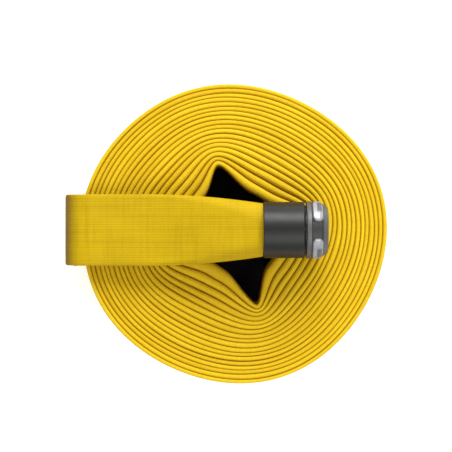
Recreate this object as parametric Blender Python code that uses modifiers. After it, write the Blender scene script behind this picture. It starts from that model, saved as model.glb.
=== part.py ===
"""Rolled lay-flat fire hose with a coupling on each end.

The roll is wound about the Z axis, the hose standing on edge. At -X the outer end is folded up the
side of the roll and runs in +X over the top to a swivel coupling. The inner end carries a male
coupling in the core. Dimensions are in millimetres; the meshes are in metres, +Z up.
"""
import bpy
import bmesh
from math import sin, cos, pi, radians, exp, sqrt, degrees
from mathutils import Matrix, Vector

for ob in list(bpy.data.objects):
    bpy.data.objects.remove(ob, do_unlink=True)

MM = 0.001

# Hose
HEIGHT = 70.0             # flat width of the hose = height of the roll
FLAT = 2.15               # half thickness of the flat hose
GIRTH = 144.9             # distance around the hose
HOSE_R = 24.1             # hose radius once expanded in a coupling

# Winding
TURNS = 18
STATIONS = 26             # loft stations in a turn
LAYER = 4.36798           # radial pitch of a closely wound layer
GAP = 0.40                # clearance between layers
START = 195.0             # polar angle where the winding begins
END_BOTTOM, END_TOP = 165.0, 191.0   # polar angles of its slanting end, bottom and top edge

# Folded end
FLAP_Y = 5.0              # its centre line
BEND_X, BEND_Z, BEND_R = -146.85, 66.5, 20.0
BEND_TOP = BEND_Z + BEND_R

# Couplings, both along X
END_AXIS = (FLAP_Y, 100.0)           # y, z
BOWL_X = 25.4             # tail end of the outer bowl
SWIVEL_X = 67.1           # -X face of the swivel
MOUTH_X = 87.6            # +X face of the swivel
MALE_AXIS = (1.5, HEIGHT / 2)        # y, z
MALE_X = -26.0            # tail end of the male coupling
BODY_R = 27.2
SEAT_R = 24.6             # pocket that takes the hose
WATERWAY_R = 19.05
PITCH = 2.822             # thread pitch
TURN_STEPS = 24           # segments around a coupling

YELLOW_RGB = (0.85, 0.55, 0.02)
YELLOW = dict(rgb=YELLOW_RGB, rough=0.72, metal=0.0)
DARK = dict(rgb=(0.045, 0.045, 0.042), rough=0.42, metal=0.8)
SWIVEL_GREY = dict(rgb=(0.16, 0.16, 0.16), rough=0.4, metal=0.9)
BRONZE = dict(rgb=(0.5, 0.32, 0.12), rough=0.4, metal=1.0)
WIRE = dict(rgb=(0.6, 0.6, 0.6), rough=0.35, metal=1.0)
RUBBER = dict(rgb=(0.02, 0.02, 0.02), rough=0.7, metal=0.0)

# Hose walls: name, depth of outer and inner face below the outside, finish
WALLS = (
    ("outer_jacket", 0.00, 0.80, dict(rgb=YELLOW_RGB, rough=0.75, metal=0.0)),
    ("inner_jacket", 0.90, 1.50, dict(rgb=(0.80, 0.74, 0.60), rough=0.8, metal=0.0)),
    ("liner", 1.60, 2.00, dict(rgb=(0.03, 0.03, 0.035), rough=0.5, metal=0.0)),
)

PARTS = bpy.data.collections.new("rolled_fire_hose")
bpy.context.scene.collection.children.link(PARTS)


# ---- mesh building ------------------------------------------------------------------------------
def material(name, rgb, rough, metal):
    mat = bpy.data.materials.new(name)
    mat.use_nodes = True
    shader = mat.node_tree.nodes["Principled BSDF"]
    shader.inputs["Base Color"].default_value = (*rgb, 1.0)
    shader.inputs["Roughness"].default_value = rough
    shader.inputs["Metallic"].default_value = metal
    return mat


def add(name, verts, faces, finish):
    """Make a smooth-shaded, triangulated object with its normals outward."""
    mesh = bpy.data.meshes.new(name)
    mesh.from_pydata([(x * MM, y * MM, z * MM) for x, y, z in verts], [], faces)
    bm = bmesh.new()
    bm.from_mesh(mesh)
    bmesh.ops.triangulate(bm, faces=bm.faces[:])
    bmesh.ops.recalc_face_normals(bm, faces=bm.faces[:])
    if bm.calc_volume(signed=True) < 0:
        bmesh.ops.reverse_faces(bm, faces=bm.faces[:])
    bm.to_mesh(mesh)
    bm.free()
    for poly in mesh.polygons:
        poly.use_smooth = True
    ob = bpy.data.objects.new(name, mesh)
    ob.data.materials.append(material(name + "_finish", **finish))
    PARTS.objects.link(ob)


def skin(rows, n, start=0, closed=False):
    """Quads joining successive rings of n points; closed joins the last ring to the first."""
    faces = []
    for i in range(rows if closed else rows - 1):
        here = start + i * n
        there = start + (i + 1) % rows * n
        for j in range(n):
            k = (j + 1) % n
            faces.append((here + j, here + k, there + k, there + j))
    return faces


def loft(name, rings, finish):
    """Solid loft with flat end caps."""
    n = len(rings[0])
    last = (len(rings) - 1) * n
    faces = skin(len(rings), n)
    faces.append(tuple(range(n))[::-1])
    faces.append(tuple(last + j for j in range(n)))
    add(name, [p for ring in rings for p in ring], faces, finish)


def sleeve(name, outer, inner, finish):
    """Hollow loft: outer skin, inner skin and a rim at each end."""
    rows, n = len(outer), len(outer[0])
    inside = n * rows
    faces = skin(rows, n)
    faces += [(b, a, d, c) for a, b, c, d in skin(rows, n, start=inside)]
    for i in (0, rows - 1):
        for j in range(n):
            a, b = i * n + j, i * n + (j + 1) % n
            faces.append((a, inside + a, inside + b, b))
    add(name, [p for ring in outer + inner for p in ring], faces, finish)


def hose_walls(prefix, rings_at):
    """The jackets and liner; rings_at(depth) gives the rings at a depth below the outside."""
    for wall, outer, inner, finish in WALLS:
        sleeve(prefix + wall, rings_at(outer), rings_at(inner), finish)


def ring_loft(name, section, axis, finish):
    """Closed loft around an axis along X; section(angle) gives (x, radius) points."""
    y0, z0 = axis
    verts = []
    for i in range(TURN_STEPS):
        a = 2 * pi * i / TURN_STEPS
        points = section(a)
        verts += [(x, y0 + r * cos(a), z0 + r * sin(a)) for x, r in points]
    add(name, verts, skin(TURN_STEPS, len(points), closed=True), finish)


def turned(name, profile, axis, finish):
    """Closed profile of (x, radius) points, screwed a full turn about an axis along X."""
    y0, z0 = axis
    n = len(profile)
    mesh = bpy.data.meshes.new(name)
    mesh.from_pydata([(x * MM, r * MM, 0.0) for x, r in profile],
                     [(i, (i + 1) % n) for i in range(n)], [])
    ob = bpy.data.objects.new(name, mesh)
    PARTS.objects.link(ob)
    screw = ob.modifiers.new("turn", "SCREW")
    screw.axis = "X"
    screw.angle = 2 * pi
    screw.steps = TURN_STEPS
    screw.render_steps = TURN_STEPS
    screw.screw_offset = 0.0
    screw.use_merge_vertices = True
    screw.merge_threshold = 0.05 * MM
    depsgraph = bpy.context.evaluated_depsgraph_get()
    done = bpy.data.meshes.new_from_object(ob.evaluated_get(depsgraph))
    bpy.data.objects.remove(ob, do_unlink=True)
    verts = [(v.co.x / MM, v.co.y / MM + y0, v.co.z / MM + z0) for v in done.vertices]
    add(name, verts, [tuple(p.vertices) for p in done.polygons], finish)


def band(name, x0, x1, outer_r, inner_r, axis, finish):
    """Turned ring of rectangular section."""
    turned(name, [(x0, outer_r), (x1, outer_r), (x1, inner_r), (x0, inner_r)], axis, finish)


def ease(t):
    """Smooth step from 0 to 1."""
    t = min(1.0, max(0.0, t))
    return t * t * (3 - 2 * t)


def oval(half_straight, radius, n=16):
    """Stadium section as (along the flat, through the thickness) points."""
    points = []
    for i in range(n):
        a = 2 * pi * (i + 0.5) / n - pi / 2
        side = half_straight if cos(a) > 0 else -half_straight
        points.append((side + radius * cos(a), radius * sin(a)))
    return points


def half_straight(girth, radius):
    """Half the straight part of a stadium with this girth and end radius."""
    return (girth - 2 * pi * radius) / 4


# ---- plan of the roll: polar angles in degrees, k in turns from the start -------------------------
CORNERS = ((18.0, 65.076, 3.0), (105.0, 67.541, 3.5),       # core: angle, radius, sharpness
           (198.0, 65.569, 2.6), (286.5, 70.992, 3.2))
TROUGHS = ((60.0, 35.496), (145.0, 36.482), (240.0, 33.524), (325.0, 39.44))   # angle, radius
SOFT = 1.8                # sharpness the corners fade to
RIM_R = 149.0832
RIM_WAVES = ((1.972, 1, 180), (1.5776, 2, 10), (1.5776, 4, 18))   # height, lobes, angle of a crest
BULGE, BULGE_ANGLE, BULGE_SPREAD = 2.5636, 155, 22.0
BUILD_UP = 78.5842        # winding depth left out of the slack


def wrap(a):
    return (a + 180.0) % 360.0 - 180.0


def core_edge(a, k):
    """Radius of the four-cornered core outline, its corners softer k turns out."""
    a %= 360.0
    for i, (corner, corner_r, sharpness) in enumerate(CORNERS):
        for trough, trough_r in (TROUGHS[i], TROUGHS[i - 1]):
            span = wrap(trough - corner)
            d = wrap(a - corner)
            if span * d >= 0 and abs(d) <= abs(span):
                blunt = min(0.6, 0.035 + 0.06 * k)
                power = SOFT + (sharpness - SOFT) * exp(-k / 4.0)
                t = (sqrt((d / span) ** 2 + blunt ** 2) - blunt) / (sqrt(1 + blunt ** 2) - blunt)
                return trough_r + (corner_r - trough_r) * (1 - t) ** power


def rim_edge(a):
    waves = sum(h * cos(radians(lobes * (a - crest))) for h, lobes, crest in RIM_WAVES)
    return RIM_R + waves + BULGE * exp(-(wrap(a - BULGE_ANGLE) / BULGE_SPREAD) ** 2)


def spiral(a, k):
    """Inner radius of the hose k turns into the winding at polar angle a."""
    core = core_edge(a, k)
    slack = rim_edge(a) - LAYER / 2 - core - BUILD_UP
    # share of the slack taken up: a slow part over many turns and a quick one at the core
    share = 0.875 * (1 - exp(-k / 5.4)) + 0.15 * (1 - exp(-k / 0.6))
    return core + LAYER * k + slack * share


def outer_face(a, k):
    return spiral(a, k + 1) - GAP


def peel(a):
    """How far the end of the last turn stands off the roll."""
    return 7.0 * ease((a - 163.0) / 30.0)


# ---- roll -----------------------------------------------------------------------------------------
def roll_stations():
    """Winding angles from the start, as (bottom edge, top edge) pairs."""
    end = 360.0 * TURNS - START + END_BOTTOM
    stations = []
    for i in range(TURNS * STATIONS + 1):
        u = 360.0 * i / STATIONS
        # stations crowd towards the core corners, less so further out
        tight = 0.62 * exp(-u / 360.0 / 5.0) * ease(i / 4.0)
        f = u - degrees(tight / 4 * sin(radians(4 * (START + u - 16.5))))
        if f < end - 24.0:
            stations.append((f, f))
    # the last steps lean over to the slanting end
    tail = stations[-1][0]
    for i in range(1, 5):
        t = i / 4.0
        stations.append((tail + (end - tail) * t,
                         tail + (end + END_TOP - END_BOTTOM - tail) * t))
    return stations


def strand_ring(bottom, top):
    """Section of the hose standing on edge, its top edge chamfered."""
    shoulder = HEIGHT - 2.0
    points = []
    # winding angle, height, fraction of the thickness from the inner face
    for f, z, depth in ((bottom, 0.0, 0.0), (bottom, 0.0, 1.0), (top, shoulder, 1.0),
                        (top, HEIGHT, 0.72), (top, HEIGHT, 0.28), (top, shoulder, 0.0)):
        a, k = START + f, f / 360.0
        inner = spiral(a, k)
        r = inner + (outer_face(a, k) - inner) * depth
        if k > TURNS - 0.3:
            r += peel(a % 360.0)
        points.append((r * cos(radians(a)), r * sin(radians(a)), z))
    return points


loft("hose_roll", [strand_ring(bottom, top) for bottom, top in roll_stations()], YELLOW)


# ---- side fold: the hose turned up the outside of the roll ------------------------------------------
FOLD_HALF = 34.6          # half width of the fold
FOLD_STEPS = 8            # steps up the fold and across it


def rim_x(y):
    """Outer face of the roll on the -X side, at offset y."""
    a = 180.0 - degrees(y / 153.0)
    k = TURNS - 1 + ((a - START) % 360.0) / 360.0
    r = outer_face(a, k) + peel(a)
    return -sqrt(max(r * r - y * y, 0.0))


def fold_point(up, across, through):
    """up 0..1 from crease to bend, across 0..1 towards -Y, through in half thicknesses, +X."""
    y = FLAP_Y + FOLD_HALF * (1 - 2 * across)
    crease_z = 61.5 * across + 1.0
    z = crease_z + (BEND_Z - 0.3 - crease_z) * up
    near = rim_x(y) - 0.75 - FLAT
    far = BEND_X - BEND_R
    return (near + (far - near) * ease(up ** 1.3) + through * FLAT, y, z)


def side_fold():
    rings = []
    ups = [i / FOLD_STEPS for i in range(FOLD_STEPS + 1)]
    for i in range(FOLD_STEPS + 1):
        across = i / FOLD_STEPS
        rings.append([fold_point(up, across, -1.0) for up in ups]
                     + [fold_point(up, across, 0.93) for up in ups[::-1]])
    loft("side_fold", rings, YELLOW)


def fold_bend():
    """Quarter bend from the side fold over the top edge of the roll."""
    rings = []
    for i in range(9):
        b = radians(90.0 * i / 8)
        rings.append([(BEND_X - (BEND_R + q) * cos(b), FLAP_Y + p, BEND_Z + (BEND_R + q) * sin(b))
                      for p, q in oval(HEIGHT / 2 - FLAT, FLAT, 12)])
    loft("fold_bend", rings, YELLOW)


side_fold()
fold_bend()

# ---- folded end: flat at the bend, round in the bowl ------------------------------------------------
FLARE_X = -94.0           # where the hose starts to open
END_ENTRY_R = 19.75       # end radius of the section at the bowl
END_STRETCH = 3.0         # added girth at the bowl
END_XS = (BEND_X + 0.35, -120, FLARE_X, -66, -42, -22, -5, 10,
          BOWL_X, 28.0, BOWL_X + 5.2, 57.0)


def end_state(x):
    """Centre height, half straight length and end radius of the hose at x."""
    if x <= BOWL_X:
        t = max(0.0, (x - FLARE_X) / (BOWL_X - FLARE_X))
        radius = FLAT + (END_ENTRY_R - FLAT) * t ** 1.87
        straight = half_straight(GIRTH + END_STRETCH * t, radius)
    else:
        e = ease((x - BOWL_X) / 5.0)
        radius = END_ENTRY_R + (HOSE_R - END_ENTRY_R) * e
        straight = half_straight(GIRTH + END_STRETCH, END_ENTRY_R) * (1 - e)
    rise = ease((x - BEND_X) / (8.0 - BEND_X))
    return BEND_TOP + (END_AXIS[1] - BEND_TOP) * rise, straight, radius


def end_rings(depth):
    rings = []
    for x in END_XS:
        z, straight, radius = end_state(x)
        rings.append([(x, FLAP_Y + p, z + q) for p, q in oval(straight, radius - depth)])
    return rings


hose_walls("end_", end_rings)


# ---- details shared by the couplings ------------------------------------------------------------------
def tail_fittings(prefix, x, axis):
    """Expansion ring and tail gasket of the coupling whose tail end is at x."""
    band(prefix + "expansion_ring", x + 5.6, x + 31.8, 21.5, 20.6, axis, BRONZE)
    band(prefix + "tail_gasket", x + 32.2, x + 35.1, 24.1, 22.0, axis, RUBBER)


def lug(a, spacing):
    """1 on a lug, 0 between; a lug in the middle of every spacing degrees."""
    return ease((27.0 - abs(degrees(a) % spacing - spacing / 2)) / 5.0)


def thread(a, start, count, base_r, depth, run_out):
    """Helical thread points, four to a pitch, fading at both ends."""
    points = []
    for j in range(count):
        x = start + j * PITCH / 4
        fade = ease(j / 3.0) * ease((count - 1 - j) / run_out)
        wave = 1 - abs(2 * ((x / PITCH - a / (2 * pi)) % 1.0) - 1)
        points.append((x, base_r + depth * fade * wave))
    return points


# ---- outer coupling -------------------------------------------------------------------------------------
GROOVE_R = 24.4           # bore of the swivel over the bowl


def wire_section(a):
    angles = [2 * pi * i / 8 for i in range(8)]
    return [(70.05 + 0.7 * cos(b), 24.1 + 0.7 * sin(b)) for b in angles]


def swivel_section(a):
    lug_r = BODY_R + 2.1 * lug(a, 90.0)
    outside = [(SWIVEL_X, 27.0), (SWIVEL_X + 0.9, 27.9), (71.6, 27.9), (72.4, BODY_R),
               (73.0, lug_r), (80.6, lug_r), (82.2, 26.5), (MOUTH_X, 22.6), (MOUTH_X, 21.6)]
    inside = [(79.3, 20.2), (79.3, GROOVE_R), (71.15, GROOVE_R), (71.15, 25.3),
              (68.95, 25.3), (68.95, GROOVE_R), (SWIVEL_X, GROOVE_R)]
    return outside + thread(a, 79.8, 10, 20.2, 1.2, run_out=2.0)[::-1] + inside


turned("female_bowl", [
    (BOWL_X, 26.1), (BOWL_X + 0.6, 27.1), (BOWL_X + 1.4, BODY_R), (BOWL_X + 38.6, BODY_R),
    (BOWL_X + 40.0, 26.2), (BOWL_X + 40.0, 23.8),
    (69.0, 23.8), (69.0, 23.0), (71.1, 23.0), (71.1, 23.8), (76.0, 23.8),
    (76.0, WATERWAY_R), (BOWL_X + 35.5, WATERWAY_R), (BOWL_X + 35.5, SEAT_R),
    (BOWL_X + 5.0, SEAT_R), (BOWL_X, 25.9)], END_AXIS, DARK)
tail_fittings("female_", BOWL_X, END_AXIS)
band("swivel_gasket", 76.4, 78.9, 24.0, 19.3, END_AXIS, RUBBER)
ring_loft("retaining_wire", wire_section, END_AXIS, WIRE)
ring_loft("swivel_ring", swivel_section, END_AXIS, SWIVEL_GREY)


# ---- inner coupling -------------------------------------------------------------------------------------
def male_section(a):
    lug_r = BODY_R + 2.6 * lug(a, 180.0)
    # offset from the tail end, radius
    body = ((0.0, 26.1), (1.0, BODY_R), (27.0, BODY_R), (28.2, lug_r), (37.0, lug_r),
            (38.2, BODY_R), (40.0, 26.4), (40.0, 22.6))
    bore = ((54.0, 21.8), (54.0, WATERWAY_R), (35.5, WATERWAY_R), (35.5, SEAT_R),
            (5.0, SEAT_R), (0.0, 25.9))
    return ([(MALE_X + x, r) for x, r in body]
            + thread(a, MALE_X + 42.6, 14, 22.6, 1.3, run_out=3.0)
            + [(MALE_X + x, r) for x, r in bore])


ring_loft("male_coupling", male_section, MALE_AXIS, DARK)
tail_fittings("male_", MALE_X, MALE_AXIS)

# ---- core tail: from the start of the winding to the male coupling, entered in +X -------------------------
CORE_ENTRY_R = 19.35      # end radius of the section at the coupling
# offset from the tail end of the coupling, fraction expanded
CORE_SOCKET = ((1.0, 0.35), (3.0, 0.75), (5.2, 1.0), (31.4, 1.0))


def tail_path():
    """Control points of the Bezier curve in plan, tangent to the winding and to X."""
    def polar(r, a):
        return Vector((r * cos(radians(a)), r * sin(radians(a))))

    pitch = spiral(START, 1.0) - spiral(START, 0.0)
    start = polar(spiral(START, 0.0) + (pitch - GAP) / 2, START)
    # the strand carried back 5 degrees, one pitch inside the first turn
    before = polar(spiral(START - 5.0, 355.0 / 360.0) - (pitch + GAP) / 2, START - 5.0)
    end = Vector((MALE_X - 1.0, MALE_AXIS[0]))
    return start, start + (before - start).normalized() * 15.0, end + Vector((-20.0, 0.0)), end


def core_rings(depth):
    y0, z0 = MALE_AXIS
    p0, p1, p2, p3 = tail_path()
    rings = []
    for i in range(9):
        t = 0.07 + 0.93 * i / 8
        s = 1 - t
        p = p0 * s ** 3 + p1 * (3 * s * s * t) + p2 * (3 * s * t * t) + p3 * t ** 3
        d = (p1 - p0) * (3 * s * s) + (p2 - p1) * (6 * s * t) + (p3 - p2) * (3 * t * t)
        d.normalize()
        radius = FLAT + (CORE_ENTRY_R - FLAT) * t ** 2.6
        section = oval(half_straight(GIRTH, radius), radius - depth)
        rings.append([(p.x - d.y * q, p.y + d.x * q, z0 + w) for w, q in section])
    for offset, e in CORE_SOCKET:
        radius = CORE_ENTRY_R + (HOSE_R - CORE_ENTRY_R) * e
        section = oval(half_straight(GIRTH, CORE_ENTRY_R) * (1 - e), radius - depth)
        rings.append([(MALE_X + offset, y0 + q, z0 + w) for w, q in section])
    return rings


hose_walls("core_", core_rings)


# ---- place the whole on the floor, centred ----------------------------------------------------------------
def place_on_floor():
    """Move all the meshes and return the shift in metres."""
    points = [v.co for ob in PARTS.objects for v in ob.data.vertices]
    low = [min(p[i] for p in points) for i in range(3)]
    high = [max(p[i] for p in points) for i in range(3)]
    shift = Vector((-(low[0] + high[0]) / 2, -(low[1] + high[1]) / 2, -low[2]))
    for ob in PARTS.objects:
        ob.data.transform(Matrix.Translation(shift))
        ob.data.update()
    return shift


def put_origin(name, point, shift):
    """Move an object's origin to a point given in millimetres before the shift."""
    ob = bpy.data.objects[name]
    origin = Vector(point) * MM + shift
    ob.data.transform(Matrix.Translation(-origin))
    ob.location = origin


floor_shift = place_on_floor()
put_origin("end_outer_jacket",
           (BEND_X - 0.785 * BEND_R, FLAP_Y, BEND_Z + 0.785 * BEND_R), floor_shift)
put_origin("swivel_ring", ((SWIVEL_X + MOUTH_X) / 2, *END_AXIS), floor_shift)
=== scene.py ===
# A flat yellow hose rolled up on the floor, with a coupling on each end.
# The roll stands on z = 0 about a vertical axis. Its outer end leaves the -X side, rises, bends
# over the top and runs to +X into the bowl and swivel. The male coupling lies in the core.
# Lengths are millimetres from the roll's axis unless noted; angles run from +X towards +Y.
from math import cos, degrees, exp, hypot, pi, radians, sin, sqrt, tau

import bmesh
import bpy
import numpy as np
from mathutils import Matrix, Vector


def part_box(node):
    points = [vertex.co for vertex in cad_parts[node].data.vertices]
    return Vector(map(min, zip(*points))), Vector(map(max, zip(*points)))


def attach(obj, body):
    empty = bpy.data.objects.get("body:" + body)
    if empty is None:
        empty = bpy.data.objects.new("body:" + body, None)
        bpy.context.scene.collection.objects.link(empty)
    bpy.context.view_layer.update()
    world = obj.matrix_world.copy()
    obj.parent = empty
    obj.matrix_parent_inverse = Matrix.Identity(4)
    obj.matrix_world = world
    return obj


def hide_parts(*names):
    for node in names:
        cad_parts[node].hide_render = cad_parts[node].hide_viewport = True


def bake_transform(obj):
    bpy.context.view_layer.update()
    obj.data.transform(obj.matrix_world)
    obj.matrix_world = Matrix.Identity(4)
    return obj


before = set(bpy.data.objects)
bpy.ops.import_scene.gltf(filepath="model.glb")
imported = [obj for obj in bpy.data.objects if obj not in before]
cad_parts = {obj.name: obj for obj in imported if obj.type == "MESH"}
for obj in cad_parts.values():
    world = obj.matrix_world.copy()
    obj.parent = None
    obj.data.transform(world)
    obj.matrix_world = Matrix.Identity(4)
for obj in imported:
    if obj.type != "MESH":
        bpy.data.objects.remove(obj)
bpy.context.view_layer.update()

MM = 0.001

# ---- driving dimensions ----------------------------------------------------------------------
TURNS = 18
START = 195.0            # angle where the roll begins, degrees
LAYER = 4.36798          # mean growth of the radius per turn
WOUND = 78.5842          # radius taken up by all the turns at that growth
GAP = 0.12               # clearance between layers

# The core is a four-pointed opening: corners (angle, radius, sharpness), troughs (angle, radius)
CORNERS = ((18.0, 65.076, 3.0), (105.0, 67.541, 3.5), (198.0, 65.569, 2.6), (286.5, 70.992, 3.2))
TROUGHS = ((60.0, 35.496), (145.0, 36.482), (240.0, 33.524), (325.0, 39.44))
SOFT_POWER = 1.8         # sharpness the corners fade to

RIM = 149.0832           # mean outer radius of the roll
# (amplitude, lobes around the rim, angle of a crest)
RIM_WAVES = ((1.972, 1, 180.0), (1.5776, 2, 10.0), (1.5776, 4, 18.0))
RIM_BULGE, BULGE_ANGLE, BULGE_SPREAD = 2.5636, 155.0, 22.0

END_BOTTOM, END_TOP = 165.0, 191.0   # the roll's slanted outer end, degrees
SLANT = 24.0             # degrees of turn over which the end slants

FLAP_Y = 5.0             # centre line of the free end
BEND_X = -146.85         # where the bend meets the top run
BEND_R = 20.0
FLAT = 2.15              # half thickness of the flat hose
HALF_WIDTH = 35.0        # half width of the flat hose
GIRTH = 144.9            # perimeter of the flat hose
HOSE_R = 24.1            # round hose inside the couplings
WALL = 2.0
THINNEST = 0.12          # least edge radius of the liner
PITCH = 2.822            # coupling threads

# ---- places read from the frame --------------------------------------------------------------
roll_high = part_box("hose_roll")[1]
bend_low, bend_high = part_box("fold_bend")
ring_low, ring_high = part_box("swivel_ring")
male_low, male_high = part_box("male_coupling")
ROLL_X = bend_high.x / MM - BEND_X
ROLL_Y = (ring_low.y + ring_high.y) / 2 / MM - FLAP_Y
BEND_Z = bend_low.z / MM
BOWL_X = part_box("female_bowl")[0].x / MM - ROLL_X
SWIVEL_X = ring_low.x / MM - ROLL_X
MOUTH_X = ring_high.x / MM - ROLL_X
AXIS_Z = (ring_low.z + ring_high.z) / 2 / MM
TOP = roll_high.z / MM
MALE_X = male_low.x / MM - ROLL_X
MALE_Y = (male_low.y + male_high.y) / 2 / MM - ROLL_Y
MALE_Z = (male_low.z + male_high.z) / 2 / MM
FEMALE_AXIS = (FLAP_Y, AXIS_Z)
MALE_AXIS = (MALE_Y, MALE_Z)


def placed(x, y, z):
    """A point of the roll's frame in metres in the scene."""
    return (x + ROLL_X) * MM, (y + ROLL_Y) * MM, z * MM


def clamp(t):
    return min(1.0, max(0.0, t))


def smooth(t):
    t = clamp(t)
    return t * t * (3 - 2 * t)


# ---- shape of the winding --------------------------------------------------------------------
def turn_between(angle, origin):
    """Signed shortest turn from origin to angle, degrees."""
    return (angle - origin + 180.0) % 360.0 - 180.0


def core_edge(angle, turn):
    """Radius of the core opening, its corners softening as the turns go out."""
    angle %= 360.0
    for i, (corner, corner_r, power) in enumerate(CORNERS):
        for trough, trough_r in (TROUGHS[i], TROUGHS[i - 1]):
            span = turn_between(trough, corner)
            offset = turn_between(angle, corner)
            if span * offset >= 0 and abs(offset) <= abs(span):
                blunt = min(0.6, 0.035 + 0.06 * turn)
                power = SOFT_POWER + (power - SOFT_POWER) * exp(-turn / 4.0)
                t = ((sqrt((offset / span) ** 2 + blunt * blunt) - blunt)
                     / (sqrt(1 + blunt * blunt) - blunt))
                return trough_r + (corner_r - trough_r) * (1 - t) ** power


def rim_edge(angle):
    waves = sum(size * cos(radians(lobes * (angle - crest))) for size, lobes, crest in RIM_WAVES)
    bulge = RIM_BULGE * exp(-(turn_between(angle, BULGE_ANGLE) / BULGE_SPREAD) ** 2)
    return RIM + waves + bulge


def swell(turn):
    """Share of the slack between core and rim used up after some turns."""
    return 0.875 * (1 - exp(-turn / 5.4)) + 0.15 * (1 - exp(-turn / 0.6))


def wobble(turn):
    """Small unevenness of a layer's edge."""
    ends = min(1.0, turn) * clamp(TURNS - turn)
    s = tau * turn
    return ends * (0.30 * sin(1.7 * s + 0.9)
                   + 0.22 * sin(3.3 * s + 2.1 + 1.3 * sin(0.61 * s))
                   + 0.14 * sin(7.1 * s + turn))


def spiral(angle, turn):
    """Inner radius of the layer at an angle, some turns after the start."""
    core = core_edge(angle, turn)
    slack = rim_edge(angle) - LAYER * 0.5 - core - WOUND
    return core + LAYER * turn + slack * swell(turn) + wobble(turn)


def peel(angle):
    """How far the outer end lifts off the roll."""
    return 7.0 * smooth((angle - 163.0) / 30.0)


# ---- mesh helpers ----------------------------------------------------------------------------
def add_attribute(mesh, name, values):
    layer = mesh.attributes.new(name, "FLOAT", "POINT")
    layer.data.foreach_set("value", np.array(values, np.float32))


def make_object(name, verts, faces, materials, weave=None, index=None):
    """Smooth-shaded object; weave holds each vertex's place (along, across) the hose."""
    mesh = bpy.data.meshes.new(name)
    mesh.from_pydata([placed(*v) for v in verts], [], faces)
    for material in materials:
        mesh.materials.append(material)
    if index is not None:
        mesh.polygons.foreach_set("material_index", index)
    mesh.polygons.foreach_set("use_smooth", [True] * len(mesh.polygons))
    if weave is not None:
        add_attribute(mesh, "along", [p[0] for p in weave])
        add_attribute(mesh, "across", [p[1] for p in weave])
    bm = bmesh.new()
    bm.from_mesh(mesh)
    bmesh.ops.recalc_face_normals(bm, faces=bm.faces[:])
    if bm.calc_volume(signed=True) < 0:
        bmesh.ops.reverse_faces(bm, faces=bm.faces[:])
    bm.to_mesh(mesh)
    bm.free()
    ob = bpy.data.objects.new(name, mesh)
    bpy.context.scene.collection.objects.link(ob)
    return ob


def grid_faces(ring_size, rings, closed=False):
    """Quads between neighbouring rings; closed joins the last ring to the first."""
    faces = []
    for i in range(rings if closed else rings - 1):
        here, there = i * ring_size, (i + 1) % rings * ring_size
        for j in range(ring_size):
            k = (j + 1) % ring_size
            faces.append((here + j, here + k, there + k, there + j))
    return faces


def end_caps(ring_size, rings):
    last = (rings - 1) * ring_size
    return [tuple(range(ring_size))[::-1], tuple(last + j for j in range(ring_size))]


def hand_over(ob, body, slot, *nodes):
    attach(ob, body)
    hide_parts(*nodes)


# ---- finishes --------------------------------------------------------------------------------
class Shader:
    """A new material, with short ways to add nodes to it."""

    def __init__(self, name):
        self.material = bpy.data.materials.new(name)
        self.material.use_nodes = True
        self.tree = self.material.node_tree
        self.bsdf = self.tree.nodes["Principled BSDF"]

    def node(self, kind):
        return self.tree.nodes.new("ShaderNode" + kind)

    def put(self, socket, value):
        """Feed a socket with a number, a colour or another node's output."""
        if isinstance(value, (int, float)):
            socket.default_value = value
        elif isinstance(value, tuple):
            socket.default_value = (*value, 1.0)
        else:
            self.tree.links.new(value, socket)

    def calc(self, operation, *values):
        node = self.node("Math")
        node.operation = operation
        for socket, value in zip(node.inputs, values):
            self.put(socket, value)
        return node.outputs[0]

    def times(self, a, b):
        return self.calc("MULTIPLY", a, b)

    def plus(self, a, b):
        return self.calc("ADD", a, b)

    def minus(self, a, b):
        return self.calc("SUBTRACT", a, b)

    def mix(self, first, second, amount):
        node = self.node("Mix")
        node.data_type = "RGBA"
        for i, value in ((0, amount), (6, first), (7, second)):
            self.put(node.inputs[i], value)
        return node.outputs[2]

    def noise(self, scale, detail=3.0, rough=0.5, vector=None):
        node = self.node("TexNoise")
        node.inputs["Scale"].default_value = scale
        node.inputs["Detail"].default_value = detail
        node.inputs["Roughness"].default_value = rough
        if vector is None:
            vector = self.node("TexCoord").outputs["Object"]
        self.put(node.inputs["Vector"], vector)
        return node.outputs["Fac"]

    def attribute(self, name):
        node = self.node("Attribute")
        node.attribute_name = name
        return node.outputs["Fac"]

    def bump(self, height, strength, distance):
        node = self.node("Bump")
        node.inputs["Strength"].default_value = strength
        node.inputs["Distance"].default_value = distance
        self.put(node.inputs["Height"], height)
        return node.outputs[0]

    def surface(self, values):
        """Feed the surface's inputs by name and return the material."""
        for name, value in values.items():
            self.put(self.bsdf.inputs[name], value)
        return self.material


WEFT_STEP = 2.4
DIRT = (0.30, 0.19, 0.03)
# Yarn-to-yarn streaks (scale along, scale across, gain): long with the warp, short with the weft
STREAKS = ((0.006, 0.24, 0.55), (0.30, 0.02, 0.40))


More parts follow.
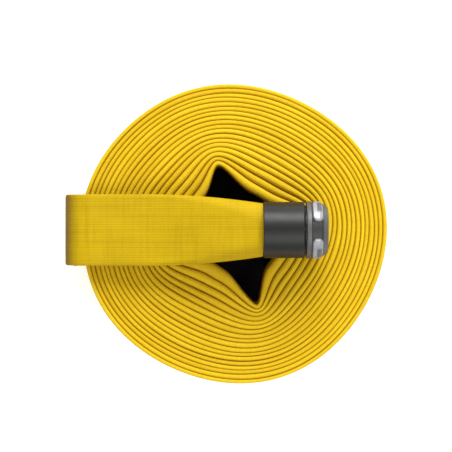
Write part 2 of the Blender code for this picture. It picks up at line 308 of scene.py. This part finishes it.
def woven(name, base, deep, light, rib, rib_shade, strength, shade_and_wear, shade_and_wear_amount):
    """Woven jacket: warp ribs along the hose and weft picks across it, in a plain weave."""
    sh = Shader(name)
    along, across = sh.attribute("along"), sh.attribute("across")
    rib_phase = sh.times(across, tau / rib)
    pick_phase = sh.times(along, tau / WEFT_STEP)
    ribs = sh.calc("ABSOLUTE", sh.calc("SINE", sh.times(rib_phase, 0.5)))
    # every second rib shifts its picks by half a step
    row = sh.calc("FLOOR", sh.times(across, 1.0 / rib))
    shift = sh.times(sh.calc("MODULO", row, 2.0), pi)
    picks = sh.plus(sh.times(sh.calc("SINE", sh.plus(pick_phase, shift)), 0.5), 0.5)
    height = sh.plus(sh.times(ribs, 0.7), sh.times(sh.times(ribs, picks), 0.5))
    fibres = sh.noise(900.0, detail=2.0)
    broad = sh.noise(26.0, detail=4.0)
    height = sh.plus(height, sh.times(fibres, 0.25))

    # painted shade in the rib grooves, light patches, and painted shade between the picks
    groove = sh.minus(1.0, ribs)
    colour = sh.mix(base, deep, sh.times(sh.calc("POWER", groove, 2.0), rib_shade))
    colour = sh.mix(colour, light, sh.times(sh.minus(broad, 0.42), 0.9))
    colour = sh.mix(colour, deep, sh.times(sh.minus(1.0, picks), 0.16))
    for scale_along, scale_across, gain in STREAKS:
        vector = sh.node("CombineXYZ")
        sh.put(vector.inputs[0], sh.times(along, scale_along))
        sh.put(vector.inputs[1], sh.times(across, scale_across))
        streak = sh.noise(1.0, detail=3.0, rough=0.6, vector=vector.outputs[0])
        excess = sh.times(sh.minus(streak, 0.46), gain * 2.2)
        colour = sh.mix(colour, deep, sh.calc("MAXIMUM", 0.0, excess))
    # sparse dirt specks
    specks = sh.calc("GREATER_THAN", sh.noise(70.0, detail=6.0, rough=0.65), 0.66)
    colour = sh.mix(colour, DIRT, sh.times(specks, 0.07))
    # painted shade on the fold, near the bowl and below the roll's top edges, and rubbed dye
    # along the roll, where the depth attribute says
    depth = sh.calc("POWER", sh.attribute("depth"), 1.6)
    colour = sh.mix(colour, shade_and_wear, sh.times(depth, shade_and_wear_amount))
    return sh.surface({
        "Base Color": colour,
        "Roughness": sh.plus(0.50, sh.times(broad, 0.25)),
        "Specular IOR Level": 0.12,
        "Normal": sh.bump(height, strength=strength, distance=0.0004),
    })


def metal(name, base, worn, rough, metallic, masks=()):
    """Turned metal with worn edges; masks are (attribute, tint) pairs laid over the colour."""
    sh = Shader(name)
    patches = sh.noise(60.0, detail=5.0, rough=0.6)
    grain = sh.noise(420.0, detail=3.0)
    # noise squeezed along X gives turning marks around the axis
    squeeze = sh.node("Mapping")
    squeeze.inputs["Scale"].default_value = (2600.0, 40.0, 40.0)
    sh.put(squeeze.inputs["Vector"], sh.node("TexCoord").outputs["Object"])
    turning = sh.noise(1.0, detail=2.0, rough=0.5, vector=squeeze.outputs[0])
    pointed = sh.node("NewGeometry").outputs["Pointiness"]
    edge = sh.calc("GREATER_THAN", sh.plus(pointed, sh.times(grain, 0.04)), 0.56)
    colour = sh.mix(base, worn, sh.times(edge, 0.25))
    colour = sh.mix(colour, tuple(c * 1.35 for c in base), sh.times(patches, 0.4))
    for mask, tint in masks:
        colour = sh.mix(colour, tint, sh.attribute(mask))
    height = sh.plus(sh.times(turning, 0.6), sh.times(grain, 0.3))
    return sh.surface({
        "Base Color": colour,
        "Metallic": metallic,
        "Roughness": sh.plus(rough - 0.08, sh.times(patches, 0.16)),
        "Normal": sh.bump(height, strength=0.25, distance=0.00008),
    })


def rubber(name, base, rough):
    sh = Shader(name)
    grain = sh.noise(350.0, detail=4.0)
    return sh.surface({
        "Base Color": sh.mix(base, tuple(c * 2.2 + 0.01 for c in base), grain),
        "Roughness": rough,
        "Normal": sh.bump(grain, strength=0.3, distance=0.0001),
    })


# The free end's yellow is a darker copy of the roll's yellow: painted shade on the same jacket.
YELLOW = woven("yellow_weave", base=(0.49, 0.325, 0.0015), deep=(0.27, 0.15, 0.0),
               light=(0.64, 0.445, 0.003), rib=2.5, rib_shade=0.13, strength=0.40,
               shade_and_wear=(0.10, 0.045, 0.0), shade_and_wear_amount=0.85)
YELLOW_ROLL = woven("yellow_weave_roll", base=(0.70, 0.475, 0.010), deep=(0.42, 0.23, 0.0),
                    light=(0.88, 0.63, 0.025), rib=2.0, rib_shade=0.16, strength=0.45,
                    shade_and_wear=(0.34, 0.13, 0.0), shade_and_wear_amount=0.70)
LINER = rubber("liner_rubber", base=(0.012, 0.012, 0.014), rough=0.5)
DARK = metal("dark_anodised", base=(0.010, 0.0095, 0.009), worn=(0.14, 0.13, 0.125),
             rough=0.43, metallic=0.40)
# Swivel tints: recess is painted shade between the lugs, lug_slot is painted shade in the slots,
# and lug_top is the lugs' worn bright finish with a painted highlight.
SWIVEL = metal("swivel_with_lugs", base=(0.085, 0.085, 0.082), worn=(0.34, 0.34, 0.33),
               rough=0.46, metallic=0.35,
               masks=(("recess", (0.03, 0.03, 0.029)), ("lug_top", (0.30, 0.30, 0.315)),
                      ("lug_slot", (0.10, 0.105, 0.115))))
BRASS = metal("expansion_brass", base=(0.42, 0.25, 0.09), worn=(0.6, 0.4, 0.2),
              rough=0.35, metallic=1.0)
GASKET = rubber("gasket_rubber", base=(0.012, 0.012, 0.012), rough=0.7)
WIRE = metal("wire_steel", base=(0.5, 0.5, 0.5), worn=(0.7, 0.7, 0.7), rough=0.3, metallic=1.0)

# ---- the roll --------------------------------------------------------------------------------
STEPS_PER_TURN = 120
SLANT_STEPS = 14
TOP_POINTS, BOTTOM_POINTS, WALL_POINTS = 9, 5, 4
EDGE_Z = TOP - 0.3       # mean height of the layers' top edges


def roll_stations():
    """(bottom, top) degrees past START of each station, and where the slanted end begins."""
    last = 360.0 * TURNS - START + END_BOTTOM
    stations = []
    for i in range(TURNS * STEPS_PER_TURN + 1):
        even = 360.0 * i / STEPS_PER_TURN
        # stations crowd towards the four corners, most of all near the core
        crowd = 0.55 * exp(-(even / 360.0) / 5.0) * smooth(i / 10.0)
        f = even - degrees(crowd / 4) * sin(radians(4 * (START + even - 16.5)))
        if f < last - SLANT:
            stations.append((f, f))
    begin = stations[-1][0]
    for i in range(1, SLANT_STEPS + 1):
        t = i / SLANT_STEPS
        stations.append((begin + (last - begin) * t,
                         begin + (last + END_TOP - END_BOTTOM - begin) * t))
    return stations, begin


STATIONS, SLANT_BEGIN = roll_stations()


def strand_point(f, z, depth):
    """Point of the strand f degrees past START; depth runs 0 to 1 from inner to outer face."""
    angle, turn = START + f, f / 360.0
    inner, outer = spiral(angle, turn), spiral(angle, turn + 1) - GAP
    inner += 0.2 * smooth((f - SLANT_BEGIN + 20.0) / 10.0)  # keeps clear of the turn under it
    r = inner + (outer - inner) * depth
    around = angle % 360.0
    if 150 < around < 200 and f > 360.0 * (TURNS - 0.3):
        r += peel(around)
    return r * cos(radians(angle)), r * sin(radians(angle)), z


def strand_ring(bottom, top, width, edge_z):
    """The strand's outline at a station as (degrees, z, depth): over, down, under and up."""
    crown = min(0.68 * width, 5.0)
    ring = []
    for j in range(TOP_POINTS):
        t = pi * j / (TOP_POINTS - 1)
        ring.append((top, edge_z - crown * (1 - sin(t) ** 0.8), 0.5 - 0.5 * cos(t)))
    high, low = edge_z - crown, 0.4 * width
    wall = [j / (WALL_POINTS + 1) for j in range(1, WALL_POINTS + 1)]
    for t in wall:
        ring.append((top + (bottom - top) * t, high * (1 - t) + low * t, 1.0))
    for j in range(BOTTOM_POINTS):
        t = pi * j / (BOTTOM_POINTS - 1)
        ring.append((bottom, low * (1 - sin(t)), 0.5 + 0.5 * cos(t)))
    for t in wall:
        ring.append((bottom + (top - bottom) * t, low * (1 - t) + high * t, 0.0))
    return ring


def lengths_around(points):
    """Length to each point from the middle of the top edge, both ways round."""
    middle = TOP_POINTS // 2
    lengths = [0.0] * len(points)
    for step, order in ((1, range(middle + 1, len(points))), (-1, range(middle - 1, -1, -1))):
        for j in order:
            (x0, z0), (x1, z1) = points[j - step], points[j]
            lengths[j] = lengths[j - step] + hypot(x1 - x0, z1 - z0)
    return lengths


def build_roll():
    verts, weave, shade_and_wear = [], [], []
    along, previous = 0.0, None
    for bottom, top in STATIONS:
        turn = top / 360.0
        width = spiral(START + top, turn + 1) - spiral(START + top, turn)
        lift = 0.45 * sin(2.399 * turn + 1.2) * sin(5.1 * turn) + 0.25 * sin(13.7 * turn)
        edge_z = EDGE_Z + min(0.3, lift * 1.5)
        middle = strand_point(top, edge_z, 0.5)
        if previous is not None:
            along += hypot(middle[0] - previous[0], middle[1] - previous[1])
        previous = middle

        ring = strand_ring(bottom, top, width, edge_z)
        around = lengths_around([(depth * width, z) for _, z, depth in ring])
        worn = 0.5 + 0.27 * sin(1.27 * radians(top)) + 0.23 * sin(0.61 * radians(top) + 1.0)
        for j, (f, z, depth) in enumerate(ring):
            verts.append(strand_point(f, z, depth))
            across = around[j]
            if j > TOP_POINTS:
                across = min(across, abs(140.0 + width - across))
            weave.append((along, across))
            # painted shade below the top edges, with rubbed dye along the strand, but neither on
            # the outer face of the last turn
            if j >= TOP_POINTS - 2 and top > 360.0 * (TURNS - 1) - 40.0:
                shade_and_wear.append(0.0)
            else:
                shade_and_wear.append(max(clamp((EDGE_Z - z) / 3.2), 0.45 * worn))

    size = TOP_POINTS + BOTTOM_POINTS + 2 * WALL_POINTS
    faces = grid_faces(size, len(STATIONS)) + end_caps(size, len(STATIONS))
    roll = make_object("roll_jacket", verts, faces, [YELLOW_ROLL], weave)
    add_attribute(roll.data, "depth", shade_and_wear)
    hand_over(roll, "roll", "yellow_jacket", "hose_roll")


build_roll()

# ---- hose sections shared by the free end and the tail ---------------------------------------
SECTION_POINTS = 96


def half_straight(girth, radius):
    """Half the straight side of a stadium with this girth and end radius."""
    return (girth - 2 * pi * radius) / 4


def stadium(half, radius):
    """Points (across, through) evenly spread around a flattened hose's section."""
    arc = pi * radius
    points = []
    for i in range(SECTION_POINTS):
        s = (i + 0.5) / SECTION_POINTS * (4 * half + 2 * arc)
        if s < half:
            points.append((s, -radius))
        elif s < half + arc:
            a = (s - half) / radius - pi / 2
            points.append((half + radius * cos(a), radius * sin(a)))
        elif s < 3 * half + arc:
            points.append((half - (s - half - arc), radius))
        elif s < 3 * half + 2 * arc:
            a = (s - 3 * half - arc) / radius + pi / 2
            points.append((-half + radius * cos(a), radius * sin(a)))
        else:
            points.append((-half + (s - 3 * half - 2 * arc), -radius))
    return points


def make_sleeve(name, outside, inside, weave):
    """Hose with a wall: rings run out along the jacket and back along the liner."""
    rings = outside + inside
    verts = [p for ring in rings for p in ring]
    faces = grid_faces(SECTION_POINTS, len(rings)) + end_caps(SECTION_POINTS, len(rings))
    index = [0] * (len(outside) * SECTION_POINTS) + [1] * ((len(inside) - 1) * SECTION_POINTS)
    return make_object(name, verts, faces, [YELLOW, LINER], weave, index + [0, 1]), verts


# ---- free end: up the side, over the top edge, along to the bowl -----------------------------
RISE_STEPS, BEND_STEPS = 22, 16
SPREAD_X = -94.0         # where the flat hose starts to open
FLAP_OPEN = 17.6         # growth of the edge radius up to the bowl
FLAP_STRETCH = 3.0       # growth of the girth up to the bowl
LEVEL_X = 8.0            # where the top run reaches the couplings' height
SLEEVE_END = 57.0        # where the hose ends inside the bowl


def rim_x(y):
    """X of the roll's outer face on its -X side."""
    angle = 180.0 - degrees(y / 153.0)
    turn = TURNS - 1 + ((angle - START) % 360.0) / 360.0
    r = spiral(angle, turn + 1) - GAP + peel(angle)
    return -sqrt(max(r * r - y * y, 0.0))


def flap_state(x):
    """Centre height, straight half and edge radius of the top run."""
    if x <= BOWL_X:
        t = max(0.0, (x - SPREAD_X) / (BOWL_X - SPREAD_X))
        radius = FLAT + FLAP_OPEN * t ** 1.87
        half = half_straight(GIRTH + FLAP_STRETCH * t, radius)
    else:
        t = smooth((x - BOWL_X) / 5.0)
        neck = FLAT + FLAP_OPEN
        radius = neck + (HOSE_R - neck) * t
        half = half_straight(GIRTH + FLAP_STRETCH, neck) * (1 - t)
    start_z = BEND_Z + BEND_R
    z = start_z + (AXIS_Z - start_z) * smooth((x - BEND_X) / (LEVEL_X - BEND_X))
    return z, half, radius


def ripple(p, x):
    """Gentle unevenness of the flat hose, fading out at the bend and the bowl."""
    size = smooth((x - BEND_X) / 25.0) * smooth((BOWL_X - 4 - x) / 40.0)
    return size * (0.22 * sin(p / 9.0 + x / 31.0) * sin(x / 23.0 + 0.7)
                   + 0.12 * sin(p / 4.1 + 1.0) * sin(x / 11.0))


def build_free_end():
    outside, inside, weave = [], [], []
    flat_section = stadium(HALF_WIDTH - FLAT, FLAT)

    # the rise, from a slanting line on the roll's side up to a level one at the bend
    for i in range(RISE_STEPS + 1):
        u = i / RISE_STEPS
        ring = []
        for p, q in flat_section:
            y = FLAP_Y + p
            foot_z = 61.5 * (0.5 - p / 69.9) + 1.0
            z = foot_z + (BEND_Z - foot_z) * u
            near = rim_x(y) - 0.35 - FLAT
            far = BEND_X - BEND_R
            ring.append((near + (far - near) * smooth(u ** 1.3) - q, y, z))
            weave.append((z, p + HALF_WIDTH))
        outside.append(ring)

    # the bend, puffed out halfway round
    for i in range(1, BEND_STEPS + 1):
        b = radians(90.0 * i / BEND_STEPS)
        ring = []
        for p, q in flat_section:
            if q < 0:
                puff = 1.0 + 0.25 * sin(2 * b)
            else:
                puff = 1.0 + 0.2 * sin(2 * b) * (1 - (p / 36) ** 2)
            r = BEND_R + q * puff
            ring.append((BEND_X - r * cos(b), FLAP_Y + p, BEND_Z + r * sin(b)))
            weave.append((BEND_Z + BEND_R * b, p + HALF_WIDTH))
        outside.append(ring)

    # the top run, its upper face slightly crowned
    run_start = BEND_Z + BEND_R * pi / 2
    stations = list(np.linspace(BEND_X + 2.0, BOWL_X - 2.0, 84))
    stations += [BOWL_X + d for d in (-1.0, 0.0, 1.5, 3.0, 5.2, 12.0, 22.0)] + [SLEEVE_END]
    for x in stations:
        z, half, radius = flap_state(x)
        crown = 1.5 * smooth((BOWL_X - 4 - x) / 60.0)
        ring = []
        for p, q in stadium(half, radius):
            rise = crown * max(0.0, 1 - (p / HALF_WIDTH) ** 2) if q > 0 else 0.0
            ring.append((x, FLAP_Y + p, z + q + ripple(p, x) + rise))
            weave.append((run_start + (x - BEND_X), p + HALF_WIDTH))
        outside.append(ring)

    # the liner, back from the bowl into the flat hose
    stations = [SLEEVE_END] + [BOWL_X + d for d in (22.0, 5.2, 2.0, 0.0)]
    stations += list(np.linspace(BOWL_X - 6, -88.0, 26))
    for x in stations:
        z, half, radius = flap_state(x)
        section = stadium(half, max(radius - WALL, THINNEST))
        inside.append([(x, FLAP_Y + p, z + q + ripple(p, x)) for p, q in section])
        weave += [(x, p) for p, q in section]

    hose_end, verts = make_sleeve("hose_end", outside, inside, weave)
    # painted shade on the outside of the fold, fading out along the top, and a little painted
    # shade where the hose goes into the bowl
    add_attribute(hose_end.data, "depth", [
        clamp((BEND_X - 5.0 - x) / (BEND_R - 5.0)) ** 1.3
        * (0.10 + 0.90 * smooth((z - 48.0) / 34.0))
        + 0.25 * smooth((x - BOWL_X + 9.0) / 8.0) for x, y, z in verts])
    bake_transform(hose_end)
    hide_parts("side_fold", "fold_bend", "end_outer_jacket", "end_inner_jacket",
                "end_liner")


build_free_end()

# ---- tail in the core, from the first turn to the male coupling ------------------------------
TAIL_NECK = FLAT + 17.2  # edge radius where the tail meets the coupling
# (x from the coupling's end, how far the section has become round)
TAIL_ENDS = ((1.0, 0.35), (3.0, 0.75), (5.2, 1.0), (31.4, 1.0))


def polar(angle, r):
    return Vector((r * cos(radians(angle)), r * sin(radians(angle))))


def tail_path():
    """Four control points of the tail's centre line, seen from above."""
    first, second = spiral(START, 0.0), spiral(START, 1.0)
    begin = polar(START, (first + second - GAP) / 2)
    back = 5.0           # degrees before START, to find the direction of the strand
    before_r = spiral(START - back, (360.0 - back) / 360.0) - (second - first) / 2 - 0.2
    heading = (polar(START - back, before_r) - begin).normalized()
    end = Vector((MALE_X - 1.0, MALE_Y))
    return begin, begin + heading * 15.0, end + Vector((-20.0, 0.0)), end


def tail_rings(path, inset, fractions):
    """Rings along the path, then inside the coupling, inset from the hose's surface."""
    p0, p1, p2, p3 = path
    rings = []
    for t in fractions:
        s = 1 - t
        p = p0 * s ** 3 + p1 * (3 * s * s * t) + p2 * (3 * s * t * t) + p3 * t ** 3
        heading = ((p1 - p0) * (3 * s * s) + (p2 - p1) * (6 * s * t)
                   + (p3 - p2) * (3 * t * t)).normalized()
        radius = FLAT + (TAIL_NECK - FLAT) * t ** 2.6
        section = stadium(half_straight(GIRTH, radius), max(radius - inset, THINNEST))
        rings.append([(p.x - heading.y * q, p.y + heading.x * q, MALE_Z + w)
                      for w, q in section])
    for offset, e in TAIL_ENDS:
        radius = TAIL_NECK + (HOSE_R - TAIL_NECK) * e
        section = stadium(half_straight(GIRTH, TAIL_NECK) * (1 - e), radius - inset)
        rings.append([(MALE_X + offset, MALE_Y + q, MALE_Z + w) for w, q in section])
    return rings


def build_tail():
    path = tail_path()
    outside = tail_rings(path, 0.0, [i / 28 for i in range(29)])
    inside = tail_rings(path, WALL, [0.25 + 0.75 * i / 14 for i in range(15)])[::-1]
    weave = [(i * 2.0, p[2]) for i, ring in enumerate(outside + inside) for p in ring]
    tail, _ = make_sleeve("core_tail", outside, inside, weave)
    hand_over(tail, "roll", "yellow_jacket", "core_outer_jacket", "core_inner_jacket",
              "core_liner")


build_tail()

# ---- couplings: profiles of (x, radius) turned about an axis along X -------------------------
AROUND = 144             # at angle 0 the profile points to +Y, at 90 degrees up
CORNER_STEPS = 3
BORE_R = 19.05
BODY_R = 27.2            # bowl and male body


def ring_loft(name, profile, axis, material):
    """Turned piece; profile(a) gives the closed outline at angle a."""
    y, z = axis
    verts = []
    for i in range(AROUND):
        a = tau * i / AROUND
        outline = profile(a)
        verts += [(x, y + r * cos(a), z + r * sin(a)) for x, r in outline]
    faces = grid_faces(len(outline), AROUND, closed=True)
    ob = make_object(name, verts, faces, [material])
    weighted = ob.modifiers.new("weighted", "WEIGHTED_NORMAL")
    weighted.keep_sharp = True
    return ob


def rounded(points, radius):
    """Closed outline with every corner rounded."""
    outline = []
    for i, point in enumerate(points):
        corner = Vector(point)
        back = Vector(points[i - 1]) - corner
        ahead = Vector(points[(i + 1) % len(points)]) - corner
        reach = min(radius, back.length * 0.4, ahead.length * 0.4)
        p, q = corner + back.normalized() * reach, corner + ahead.normalized() * reach
        for j in range(CORNER_STEPS + 1):
            t = j / CORNER_STEPS
            outline.append(tuple(p * (1 - t) ** 2 + corner * (2 * t * (1 - t)) + q * t ** 2))
    return outline


def thread(x, a):
    """Height of a thread, 0 to 1."""
    phase = (x / PITCH - a / tau) % 1.0
    return smooth((0.5 - abs(phase - 0.5)) * 2.6 - 0.25)


def lug_mask(a, x, x0, x1, count=4, first=45.0):
    """Round-ended lugs between x0 and x1: 1 on top, 0 off them."""
    span = 360.0 / count
    off_centre = abs((degrees(a) - first + span / 2) % span - span / 2)
    lug_r, half_angle = 30.0, 27.0
    half_x = (x1 - x0) / 2
    corner = half_x * 0.92
    dx = abs(x - (x0 + x1) / 2) - half_x + corner
    da = radians(off_centre) * lug_r - radians(half_angle) * lug_r + corner
    outside = min(max(dx, da), 0.0) + hypot(max(dx, 0.0), max(da, 0.0)) - corner
    return smooth(0.5 - outside / 1.1)


# Bowl outline: (x from the bowl's -X end, radius)
BOWL_OUTLINE = (
    (0.0, 26.2), (0.4, BODY_R), (2.0, BODY_R), (20.0, BODY_R), (38.6, BODY_R), (40.0, 26.2),
    (40.0, 23.8), (43.6, 23.8), (43.6, 23.0), (45.7, 23.0), (45.7, 23.8), (50.6, 23.8),
    (50.6, BORE_R), (35.5, BORE_R), (35.5, 24.6), (5.0, 24.6), (0.0, 25.9))

bowl_profile = rounded([(BOWL_X + x, r) for x, r in BOWL_OUTLINE], 0.5)
bowl = ring_loft("coupling_bowl", lambda a: bowl_profile, FEMALE_AXIS, DARK)
hand_over(bowl, "free_end", "dark_coupling", "female_bowl")

# ---- swivel ----------------------------------------------------------------------------------
LUG_X0, LUG_X1 = SWIVEL_X + 5.3, SWIVEL_X + 15.3
LUG_XS = [LUG_X0 - 1.0 + (LUG_X1 - LUG_X0 + 1.4) * i / 20 for i in range(21)]
COLLAR_R, BARREL_R = 27.9, 27.0
# Collar at the -X end: (x from the swivel's end, radius)
COLLAR = ((0.0, 24.5), (0.0, 26.9), (0.25, 27.5), (0.8, 27.85), (2.4, COLLAR_R), (4.2, COLLAR_R))
# Gasket seat and wire groove in the bore, back to the collar
SEAT = ((12.3, 20.2), (12.25, 20.4), (12.2, 24.2), (12.0, 24.4), (4.1, 24.4), (4.05, 24.5),
        (4.05, 25.3), (1.85, 25.3), (1.85, 24.5), (1.8, 24.4), (0.2, 24.4))


def barrel_r(x):
    """Swivel's outline without its lugs."""
    offset = x - SWIVEL_X
    if offset < 4.4:
        return COLLAR_R
    if offset < 5.2:
        return COLLAR_R - (COLLAR_R - BARREL_R) * smooth((offset - 4.4) / 0.8)
    if offset < 13.6:
        return BARREL_R
    return BARREL_R - (offset - 13.6) * 0.68


def slot_mask(a, x):
    """Shallow slot in the +X part of each lug."""
    from_pole = abs(degrees(a) % 180.0 - 90.0)
    lengthwise = smooth((x - LUG_X0 - 3.6) / 1.2) * smooth((LUG_X1 - 0.6 - x) / 1.0)
    return lengthwise * smooth((from_pole - 36.0) / 5.0) * smooth((68.0 - from_pole) / 5.0)


def swivel_profile(a):
    points = [(SWIVEL_X + x, r) for x, r in COLLAR]
    for x in LUG_XS:
        mask = lug_mask(a, x, LUG_X0, LUG_X1)
        top = 29.3 - 0.6 * smooth((x - LUG_X1 + 4.0) / 4.0) - max(0.0, x - LUG_X1 + 3.5) * 0.30
        base = barrel_r(x)
        points.append((x, base + (top - base) * mask - 0.35 * slot_mask(a, x) * mask))
    taper, lip_x = LUG_X1 + 0.9, MOUTH_X - 0.5
    for i in range(5):
        x = taper + (lip_x - taper) * i / 4
        points.append((x, barrel_r(x)))
    lip = barrel_r(lip_x)
    points += [(MOUTH_X - 0.15, lip - 0.3), (MOUTH_X, lip - 0.7), (MOUTH_X, 21.9),
               (MOUTH_X - 0.3, 21.6)]
    for j in range(33):
        x = MOUTH_X - 0.9 - j * (7.2 / 32)
        fade = smooth(j / 6.0) * smooth((32 - j) / 5.0)
        points.append((x, 20.2 + 0.9 * (1 - smooth(j / 3.0)) + 1.3 * fade * thread(x, a)))
    return points + [(SWIVEL_X + x, r) for x, r in SEAT]


def build_swivel():
    swivel = ring_loft("swivel_body", swivel_profile, FEMALE_AXIS, SWIVEL)
    size = len(swivel_profile(0.0))
    masks = {name: np.zeros(size * AROUND) for name in ("lug_top", "recess", "lug_slot")}
    for i in range(AROUND):
        a = tau * i / AROUND
        for j, x in enumerate(LUG_XS):
            vertex = i * size + len(COLLAR) + j
            mask = lug_mask(a, x, LUG_X0, LUG_X1)
            # lug_top: worn bright finish with a painted highlight; recess and lug_slot: painted
            # shade
            masks["lug_top"][vertex] = smooth((mask - 0.55) / 0.4)
            masks["recess"][vertex] = 1.0 - mask
            masks["lug_slot"][vertex] = slot_mask(a, x) * smooth((mask - 0.6) / 0.4)
    for name, values in masks.items():
        add_attribute(swivel.data, name, values)
    hand_over(swivel, "swivel", "swivel_metal", "swivel_ring")


build_swivel()

# ---- male coupling ---------------------------------------------------------------------------
# Outline parts around the lugs and the thread: (x from the body's -X end, radius)
MALE_BODY = ((0.1, 25.95), (0.0, 26.1), (0.4, 26.9), (1.2, BODY_R), (14.0, BODY_R),
             (27.0, BODY_R))
MALE_SHOULDER = ((39.2, 27.1), (39.8, 26.8), (40.0, 26.2), (40.0, 22.9), (40.2, 22.6))
MALE_BORE = ((53.7, 22.0), (54.0, 21.6), (54.0, 19.3), (53.8, BORE_R), (35.5, BORE_R),
             (35.4, 19.2), (35.4, 24.4), (35.2, 24.6), (5.0, 24.6))


def male_profile(a):
    points = [(MALE_X + x, r) for x, r in MALE_BODY]
    for i in range(21):
        x = MALE_X + 27.6 + 11.0 * i / 20
        mask = lug_mask(a, x, MALE_X + 28.0, MALE_X + 38.0, count=2, first=90.0)
        points.append((x, BODY_R + 2.5 * mask))
    points += [(MALE_X + x, r) for x, r in MALE_SHOULDER]
    for j in range(49):
        x = MALE_X + 40.8 + j * (12.4 / 48)
        fade = smooth(j / 6.0) * smooth((48 - j) / 6.0)
        points.append((x, 22.5 + 1.4 * fade * thread(x, a)))
    return points + [(MALE_X + x, r) for x, r in MALE_BORE]


male = ring_loft("male_body", male_profile, MALE_AXIS, DARK)
hand_over(male, "roll", "dark_coupling", "male_coupling")

# ---- plain rings -----------------------------------------------------------------------------
# Shapes: from x, to x, outer radius, inner radius, corner radius
EXPANSION = (5.6, 31.8, 21.95, 21.0, 0.3)
TAIL_GASKET = (32.2, 35.1, 24.1, 22.1, 0.3)
MOUTH_GASKET = (9.3, 11.8, 24.0, 19.3, 0.6)
WIRE_RING = (2.25, 3.65, 24.8, 23.4, 0.55)
# name, shape, x origin, axis, material, body, slot, piece replaced
RINGS = (
    ("outer_expansion_ring", EXPANSION, BOWL_X, FEMALE_AXIS, BRASS,
     "free_end", "ring_brass", "female_expansion_ring"),
    ("outer_tail_gasket", TAIL_GASKET, BOWL_X, FEMALE_AXIS, GASKET,
     "free_end", "gasket_rubber", "female_tail_gasket"),
    ("mouth_gasket", MOUTH_GASKET, SWIVEL_X, FEMALE_AXIS, GASKET,
     "swivel", "gasket_rubber", "swivel_gasket"),
    ("swivel_wire", WIRE_RING, SWIVEL_X, FEMALE_AXIS, WIRE,
     "free_end", "wire_steel", "retaining_wire"),
    ("inner_expansion_ring", EXPANSION, MALE_X, MALE_AXIS, BRASS,
     "roll", "ring_brass", "male_expansion_ring"),
    ("inner_tail_gasket", TAIL_GASKET, MALE_X, MALE_AXIS, GASKET,
     "roll", "gasket_rubber", "male_tail_gasket"),
)


def build_ring(name, shape, origin, axis, material, body, slot, node):
    x0, x1, outer, inner, corner = shape
    x0, x1 = origin + x0, origin + x1
    outline = rounded([(x0, outer), (x1, outer), (x1, inner), (x0, inner)], corner)
    hand_over(ring_loft(name, lambda a: outline, axis, material), body, slot, node)


for row in RINGS:
    build_ring(*row)


# ---- floor, light, camera (metres) -----------------------------------------------------------
def stage_face(name, verts, material):
    mesh = bpy.data.meshes.new(name)
    mesh.from_pydata(verts, [], [tuple(range(len(verts)))])
    mesh.materials.append(material)
    ob = bpy.data.objects.new(name, mesh)
    bpy.context.scene.collection.objects.link(ob)


FLOOR = Shader("floor_pale").surface({
    "Base Color": (0.93, 0.93, 0.93), "Emission Color": (1.0, 1.0, 1.0),
    "Emission Strength": 0.34, "Roughness": 0.85})
stage_face("floor", [(-4, -4, 0), (4, -4, 0), (4, 4, 0), (-4, 4, 0)], FLOOR)

# a dark disc just above the floor shades the core
CORE_SHADE = Shader("core_shade").surface({"Base Color": (0.006, 0.004, 0.006), "Roughness": 1.0})
SHADE_R, SHADE_Z, SHADE_POINTS = 78.0, 0.3, 48     # millimetres
stage_face("core_shade_disc",
           [placed(SHADE_R * cos(tau * i / SHADE_POINTS), SHADE_R * sin(tau * i / SHADE_POINTS),
                   SHADE_Z) for i in range(SHADE_POINTS)], CORE_SHADE)

scene = bpy.context.scene
scene.view_settings.view_transform = "Standard"
world = bpy.data.worlds.new("studio")
world.use_nodes = True
background = world.node_tree.nodes["Background"]
background.inputs["Color"].default_value = (1, 1, 1, 1)
background.inputs["Strength"].default_value = 0.60
scene.world = world

LIGHT_TARGET = Vector((0, 0, 0.05))


def area_light(name, offset, height, size, power):
    """Rectangular light, offset (x, y) from the roll's axis."""
    light = bpy.data.lights.new(name, "AREA")
    light.shape = "RECTANGLE"
    light.size, light.size_y = size
    light.energy = power
    ob = bpy.data.objects.new(name, light)
    place = Vector((ROLL_X * MM + offset[0], ROLL_Y * MM + offset[1], height))
    ob.location = place
    ob.rotation_euler = (LIGHT_TARGET - place).to_track_quat("-Z", "Y").to_euler()
    scene.collection.objects.link(ob)


area_light("key", offset=(0.35, 1.45), height=1.10, size=(1.2, 0.9), power=41.0)
area_light("fill", offset=(0.5, -1.0), height=1.6, size=(1.3, 1.3), power=19.0)

CAMERA_RISE = 1.55       # above the top of the roll, looking straight down
VIEW_WIDTH = 0.445672    # seen at the height of the roll's top
camera = bpy.data.cameras.new("camera")
camera.sensor_width = 36.0
camera.lens = camera.sensor_width * CAMERA_RISE / VIEW_WIDTH
camera.clip_end = 50
camera_ob = bpy.data.objects.new("camera", camera)
camera_ob.location = placed(-10.35, 8.87, TOP + CAMERA_RISE / MM)
scene.collection.objects.link(camera_ob)
scene.camera = camera_ob
